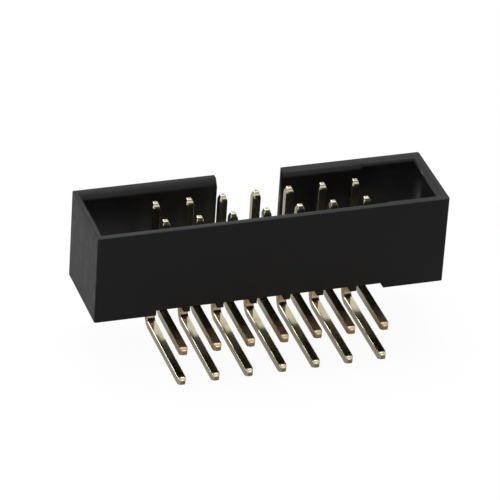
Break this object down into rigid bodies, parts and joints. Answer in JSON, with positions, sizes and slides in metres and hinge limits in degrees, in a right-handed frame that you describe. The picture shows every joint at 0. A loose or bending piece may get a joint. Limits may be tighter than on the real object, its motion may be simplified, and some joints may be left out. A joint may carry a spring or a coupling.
{
  "type": "right-angle box header",
  "caption": "Right-angle shrouded board header with a keyed open socket, two rows of square contacts and bent solder tails.",
  "frame": {"origin": "middle of the whole part in X and Y, on the underside of the lower solder tails, where the part rests", "axes": "+Z is the way the socket opens, X runs along the rows of contacts, -Y is the way the solder tails point, towards the circuit board"},
  "size_m": [0.021, 0.0084, 0.0085],
  "materials": {
    "housing": "moulded black plastic with a low sheen",
    "contacts": "pale gold plating, bright"
  },
  "bodies": {
    "root": {"housing": "housing", "short_pin_1": "contacts", "short_pin_2": "contacts", "short_pin_3": "contacts", "short_pin_4": "contacts", "short_pin_5": "contacts", "short_pin_6": "contacts", "short_pin_7": "contacts", "long_pin_1": "contacts", "long_pin_2": "contacts", "long_pin_3": "contacts", "long_pin_4": "contacts", "long_pin_5": "contacts", "long_pin_6": "contacts", "long_pin_7": "contacts"}
  },
  "joints": []
}
